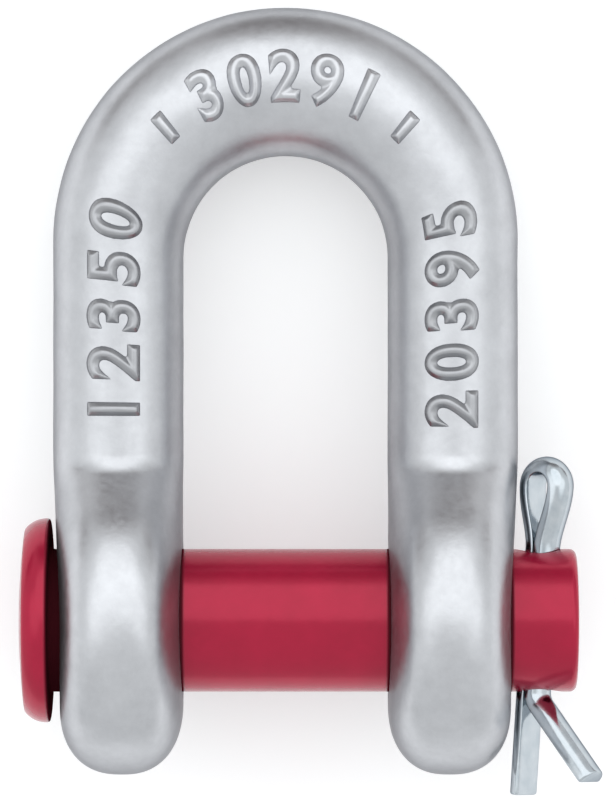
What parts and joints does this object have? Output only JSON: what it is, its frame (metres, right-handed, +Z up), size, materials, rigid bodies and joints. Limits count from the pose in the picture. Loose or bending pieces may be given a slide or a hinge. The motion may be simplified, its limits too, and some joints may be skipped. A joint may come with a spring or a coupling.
{
  "type": "round pin chain shackle",
  "caption": "Forged D-shaped chain shackle with galvanised bow and eyes, a red round pin with a domed head, and a split pin that keeps it in.",
  "frame": {"origin": "on the pin's axis, midway between the bow's ears", "axes": "+X along the pin from its head to the split pin, +Y from the pin towards the crown, +Z up. The shackle lies at rest on its ears and its crown."},
  "size_m": [0.1034, 0.1387, 0.0548],
  "materials": {
    "galvanised": "satin hot dip galvanised zinc on forged steel",
    "red_paint": "semi-gloss red paint on steel",
    "zinc_plate": "bright zinc plate on steel wire"
  },
  "bodies": {
    "bow": {"shackle_bow": "galvanised"},
    "pin": {"round_pin": "red_paint", "split_pin": "zinc_plate"}
  },
  "joints": [
    {"name": "pin_turn", "type": "hinge", "parent": "bow", "child": "pin", "pos_m": [0, 0, 0], "axis": [1, 0, 0], "range_deg": [-144, 144]}
  ]
}
